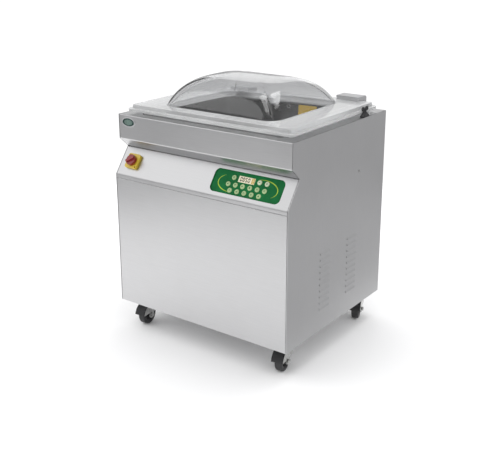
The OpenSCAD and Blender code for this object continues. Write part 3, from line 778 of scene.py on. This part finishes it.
CAP_R, FLANGE_R = 7.5 * MM, 9 * MM
CAP_DEEP, CAP_STEP = 7.0 * MM, 5.8 * MM
CROWN = [(0, 0.35), (3.0, 0.28), (5.2, 0.05), (6.5, -0.3), (7.2, -0.8), (7.5, -1.5)]


def make_button(node, mark):
    """A crowned push button with its printed mark."""
    at = CONSOLE @ Matrix.Translation(on_console(node))
    profile = in_mm(CROWN)
    profile += [(CAP_R, -CAP_STEP), (FLANGE_R, -CAP_STEP), (FLANGE_R, -CAP_DEEP), (0, -CAP_DEEP)]
    tone = white if node in WHITE_BUTTONS else cream
    button = finish_mesh(turned(lathe(profile, 40), at), node + "_cap", tone)
    place(button, node, "cream_button", node)
    outlines = [in_mm(outline) for outline in mark]
    print_on(node + "_mark", outlines, at, 0.4 * MM, node, "green_keypad", leaf)


for number, mark in enumerate(MARKS, 1):
    make_button(f"button_{number}", mark)

# The crescents lie on the green field, at the bottom of its recess
FIELD_UP, RECESS = 47.5 * MM, 4 * MM
SWEEP_RX, SWEEP_RY, SWEEP_W = 51 * MM, 27.5 * MM, 2.7 * MM
field_mid = Vector(((pad_lo.x + pad_hi.x) / 2, FIELD_UP, -RECESS))
field = CONSOLE @ Matrix.Translation(field_mid)
for name, side, start, end in (("left", -1, 128, 274), ("right", 1, 112, -46)):
    curve = band(side * SWEEP_RX, 0, SWEEP_RX, SWEEP_RY, start, end, SWEEP_W)
    print_on(f"keypad_sweep_{name}", [curve], field, 0.15 * MM, "cabinet", "green_keypad", lime)

# The display: four seven-bar digits and an amber column
LIT = {0: "abcdef", 5: "afgcd", 8: "abcdefg"}
DIGITS = ((0, -19), (8, -10), (5, -1), (0, 8))
COLUMN_X, COLUMN_W, COLUMN_H = 22.2, 9.5, 16.5


def digit(value, cx, w=5.0, h=10.5, t=2.4):
    """The lit bars of one digit, in millimetres."""
    bars = {
        "a": rect(cx, h / 2, w, t), "g": rect(cx, 0, w - t, t), "d": rect(cx, -h / 2, w, t),
        "f": rect(cx - w / 2, h / 4, t, h / 2 - t), "b": rect(cx + w / 2, h / 4, t, h / 2 - t),
        "e": rect(cx - w / 2, -h / 4, t, h / 2 - t), "c": rect(cx + w / 2, -h / 4, t, h / 2 - t),
    }
    return [bars[key] for key in LIT[value]]


glass = CONSOLE @ Matrix.Translation(on_console("lcd_window"))
bars = [in_mm(bar) for value, cx in DIGITS for bar in digit(value, cx)]
column = in_mm(round_rect(COLUMN_X, 0, COLUMN_W, COLUMN_H, 1.5))
lamps = [in_mm(rect(COLUMN_X, y, 4.5, 2.0)) for y in (-4.6, 0, 4.6)]
print_on("display_digits", bars, glass, 0.08 * MM, "cabinet", "display", segment)
print_on("display_column", [column], glass, 0.06 * MM, "cabinet", "display", amber)
print_on("display_lamps", lamps, glass, 0.12 * MM, "cabinet", "display", display)

# ---------------------------------------------------------------- badge, label and port

FACING_FRONT = Matrix.Rotation(math.pi / 2, 4, "X")


def turned_trim(name, profile, steps, at, slot, material):
    """Trim on the cabinet, turned from a profile in millimetres."""
    place(finish_mesh(turned(lathe(in_mm(profile), steps), at), name, material), "cabinet", slot)


# Half sizes of the badge, and its rings as circles of its half height, in millimetres
BADGE_W, BADGE_H = 28.5, 15
BADGE_X, BADGE_DROP = -280 * MM, 22 * MM
BADGE_RIM = [(15, -0.3), (15, 0.9), (14.5, 1.3), (13, 1.3), (12.4, 0.8), (12.4, -0.3), (15, -0.3)]
BADGE_FIELD = [(0, 0.8), (8, 0.8), (12.4, 0.7), (12.4, -0.2), (0, -0.2)]
BADGE_MIDDLE = [(0, 1.15), (6, 1.1), (8.4, 0.95), (8.8, 0.6), (0, 0.6)]


def make_badge():
    """A blank oval badge: a bright rim, a dark enamel field and a paler middle."""
    at = Matrix.Translation((BADGE_X, FASCIA, DECK - BADGE_DROP)) @ FACING_FRONT
    at = at @ Matrix.Diagonal((BADGE_W / BADGE_H, 1, 1, 1))
    turned_trim("badge_rim", BADGE_RIM, 72, at, "aluminium", aluminium)
    turned_trim("badge_field", BADGE_FIELD, 72, at, "green_keypad", enamel)
    turned_trim("badge_middle", BADGE_MIDDLE, 72, at, "green_keypad", enamel_pale)


# The label and the pressure port are on the chamber's rear wall
WALL_IN = 452 * MM
LABEL_X, LABEL_DROP, LABEL_W, LABEL_H = 76 * MM, 21 * MM, 69 * MM, 37 * MM
PORT_X, PORT_DROP = 4 * MM, 11 * MM
PORT_RIM = [(4.2, -0.2), (7.5, -0.2), (7.5, 1.2), (6.8, 1.9), (4.9, 1.9), (4.2, 1.2), (4.2, -0.2)]
PORT_PLUG = [(0, 0.9), (3.0, 0.8), (4.2, 0.2), (4.2, -0.2), (0, -0.2)]


def on_rear_wall(x, drop):
    """Place on the chamber's rear wall, so far across and below the deck."""
    return Matrix.Translation((x, FASCIA + WALL_IN, DECK - drop)) @ FACING_FRONT


make_badge()
print_on(
    "chamber_label", [round_rect(0, 0, LABEL_W, LABEL_H, 3 * MM)], on_rear_wall(LABEL_X, LABEL_DROP),
    0.3 * MM, "cabinet", "yellow_plate", label_film, 0.1 * MM
)
port_at = on_rear_wall(PORT_X, PORT_DROP)
turned_trim("pressure_port_rim", PORT_RIM, 40, port_at, "zinc_steel", zinc)
turned_trim("pressure_port", PORT_PLUG, 32, port_at, "black_plastic", black)

# ---------------------------------------------------------------- casters

CORNERS = ("front_right", "front_left", "rear_right", "rear_left")
WHEEL_R, FLANK, TREAD = 32.5 * MM, 12 * MM, 5 * MM
RIM_R, WEB_R, BOSS_R, BORE_R = 21 * MM, 19 * MM, 9 * MM, 4.1 * MM
BOSS_OUT, RIM_IN, WEB_IN = FLANK + 1.5 * MM, FLANK - 2 * MM, FLANK - 5 * MM
SPOKES = 6
JOINTS = {joint["name"]: joint for joint in frame["joints"]}


def make_wheel(corner):
    """Rubber tyre on a black hub with ribs, turned about the wheel's axle."""
    joint = JOINTS["wheel_spin_" + corner]
    turn = Vector(joint["axis"]).to_track_quat("Z", "Y").to_matrix().to_4x4()
    at = Matrix.Translation(joint["pos_m"]) @ turn
    crown = arc(WHEEL_R - TREAD, FLANK - TREAD, TREAD, 90, 12, 7)
    half = [(RIM_R, RIM_IN), (RIM_R + 1.5 * MM, FLANK - 0.6 * MM), (RIM_R + 4 * MM, FLANK)]
    half += crown + [(WHEEL_R, 3 * MM), (WHEEL_R - 0.5 * MM, 0.6 * MM)]
    tyre = half + [(r, -z) for r, z in reversed(half)] + [half[0]]
    tyre_piece = finish_mesh(turned(lathe(tyre, 96), at), f"tyre_{corner}", rubber)
    place(tyre_piece, "wheel_" + corner, "wheel_rubber", "caster_wheel_" + corner)
    side = [(BORE_R, BOSS_OUT), (BOSS_R - 1 * MM, BOSS_OUT), (BOSS_R, BOSS_OUT - 1 * MM)]
    side += [(BOSS_R, WEB_IN), (WEB_R - 1 * MM, WEB_IN), (WEB_R, RIM_IN), (RIM_R, RIM_IN)]
    hub = side + [(r, -z) for r, z in reversed(side)] + [side[0]]
    bm = lathe(hub, 64)
    for i in range(SPOKES):
        spoke = round_rect(13.5 * MM, 0, 10 * MM, 2.4 * MM, 0.6 * MM, 2)
        turn_to = 2 * math.pi * i / SPOKES
        c, s = math.cos(turn_to), math.sin(turn_to)
        outline = [(x * c - y * s, x * s + y * c) for x, y in spoke]
        slab(bm, outline, WEB_IN - 0.2 * MM, RIM_IN - 0.5 * MM)
        slab(bm, outline, 0.5 * MM - RIM_IN, 0.2 * MM - WEB_IN)
    hub_piece = finish_mesh(turned(bm, at), f"hub_{corner}", black)
    place(hub_piece, "wheel_" + corner, "wheel_rubber")


def make_fork(corner):
    """The fork: a black guard, with zinc legs and bolts either side of the wheel."""
    joint = JOINTS["wheel_spin_" + corner]
    centre, axle = Vector(joint["pos_m"]), Vector(joint["axis"]).normalized()
    fork = rounded("caster_fork_" + corner, 0.9 * MM, black, 3)
    fork.data.materials.append(zinc)
    leg_half, leg_top, outer_skin = 11.5 * MM, WHEEL_R + 19 * MM, 15.5 * MM
    for face in fork.data.polygons:
        to = face.center - centre
        out = abs(to.dot(axle))
        aside = abs(to.dot(axle.cross(Vector((0, 0, 1)))))
        if out > outer_skin and aside < leg_half and face.center.z < leg_top:
            face.material_index = 1


for corner in CORNERS:
    make_wheel(corner)
    make_fork(corner)

# ---------------------------------------------------------------- fasteners


def islands(node):
    """The separate solids of a CAD node, each as its lowest and highest corner."""
    bm = bmesh.new()
    bm.from_mesh(frame["nodes"][node].data)
    bmesh.ops.remove_doubles(bm, verts=bm.verts, dist=WELD)
    left, boxes = set(bm.verts), []
    while left:
        reach = [left.pop()]
        for vert in reach:
            for edge in vert.link_edges:
                other = edge.other_vert(vert)
                if other in left:
                    left.remove(other)
                    reach.append(other)
        lo = Vector(min(v.co[i] for v in reach) for i in range(3))
        hi = Vector(max(v.co[i] for v in reach) for i in range(3))
        boxes.append((lo, hi))
    bm.free()
    return sorted(boxes, key=lambda box: tuple(round(c, 4) for c in box[0]))


HEAD_H = 2 * MM


def make_screw(name, tip, out, head_r, shank_r, length):
    """A pan-head screw with a hexagon socket.  tip is the top of its head, out the way it faces."""
    bm = lathe([
        (head_r * 0.42, 0), (head_r * 0.62, -0.02 * HEAD_H), (head_r * 0.86, -0.22 * HEAD_H),
        (head_r, -0.55 * HEAD_H), (head_r, -HEAD_H), (shank_r, -HEAD_H), (shank_r, -length), (0, -length),
    ], 36)
    rim = sorted((v for v in bm.verts if abs(v.co.z) < 1e-9), key=lambda v: math.atan2(v.co.y, v.co.x))
    sink = []
    for vert in rim:
        a = math.atan2(vert.co.y, vert.co.x)
        near = (a + math.pi / 6) % (math.pi / 3) - math.pi / 6
        r = head_r * 0.36 / math.cos(near)
        sink.append((r * math.cos(a), r * math.sin(a)))
    upper = [bm.verts.new((x, y, -0.02 * HEAD_H)) for x, y in sink]
    lower = [bm.verts.new((x, y, -0.7 * HEAD_H)) for x, y in sink]
    for i in range(len(rim)):
        j = (i + 1) % len(rim)
        bm.faces.new((rim[i], rim[j], upper[j], upper[i]))
        bm.faces.new((upper[i], upper[j], lower[j], lower[i]))
    bm.faces.new(lower)
    at = Matrix.Translation(tip) @ Vector(out).to_track_quat("Z", "Y").to_matrix().to_4x4()
    place(finish_mesh(turned(bm, at), name, zinc), "cabinet", "zinc_steel", "panel_screws")


for number, (lo, hi) in enumerate(islands("panel_screws"), 1):
    middle, size = (lo + hi) / 2, hi - lo
    name = f"panel_screw_{number}"
    if size.y > size.x:
        make_screw(name, Vector((middle.x, hi.y, middle.z)), (0, 1, 0), 4 * MM, 2 * MM, size.y)
    else:
        side, tip_x = (1, hi.x) if middle.x > 0 else (-1, lo.x)
        make_screw(name, Vector((tip_x, middle.y, middle.z)), (side, 0, 0), 4.5 * MM, 2.5 * MM, size.x)

# ---------------------------------------------------------------- other nodes, with eased edges

# The widths of the eased edges are in millimetres
for node, width, material in (
    ("base_tray", 0.6, steel_x), ("caster_plates", 0.8, zinc), ("hinge_brackets", 0.5, zinc),
    ("hinge_pins", 0.5, zinc), ("suction_port", 0.7, black), ("lid_sensor", 0.8, black),
    ("seal_rods", 0.6, zinc), ("seal_cylinders", 0.8, aluminium), ("vacuum_pump", 1.2, pump_paint),
    ("pump_motor", 1.2, pump_paint), ("transformer", 0.8, copper), ("solenoid_valve", 0.8, brass),
    ("switch_body", 0.8, black), ("control_board", 0.2, board),
):
    rounded(node, width * MM, material)
